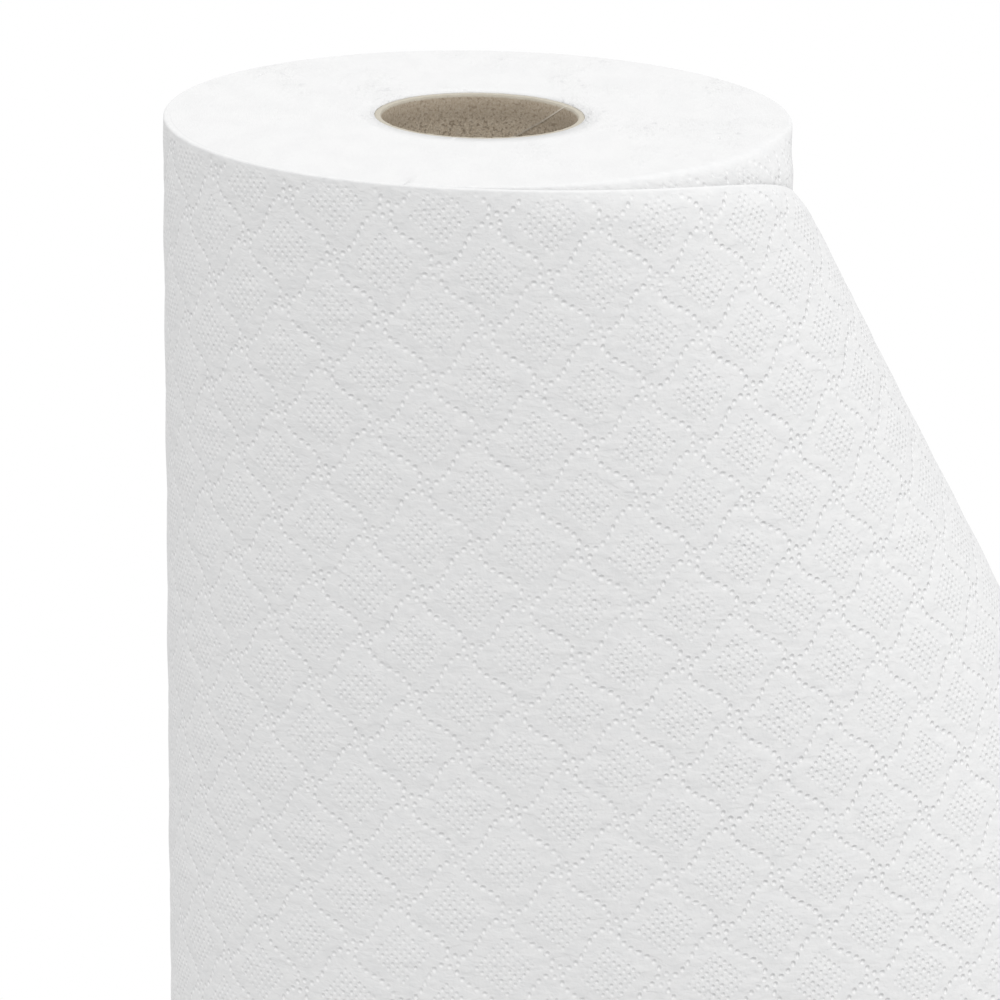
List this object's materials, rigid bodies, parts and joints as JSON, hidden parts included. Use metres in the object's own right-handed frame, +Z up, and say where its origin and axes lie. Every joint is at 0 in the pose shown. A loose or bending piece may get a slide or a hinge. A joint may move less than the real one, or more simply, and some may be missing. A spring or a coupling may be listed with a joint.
{
  "type": "exam table paper roll",
  "caption": "Wide roll of embossed white crepe paper wound on a cardboard core, standing on one end with its last turn loosened and flaring off.",
  "frame": {"origin": "on the roll's axis, in the plane of the lower end that it stands on", "axes": "+Z up along the roll's axis, -Y towards the front, +X towards the side where the loosened turn flares off"},
  "size_m": [0.2626, 0.1615, 0.5],
  "materials": {
    "core_board": "matt, speckled grey-brown board",
    "embossed_paper": "matt white, embossed"
  },
  "bodies": {
    "root": {"core": "core_board", "paper_roll": "embossed_paper"}
  },
  "joints": []
}
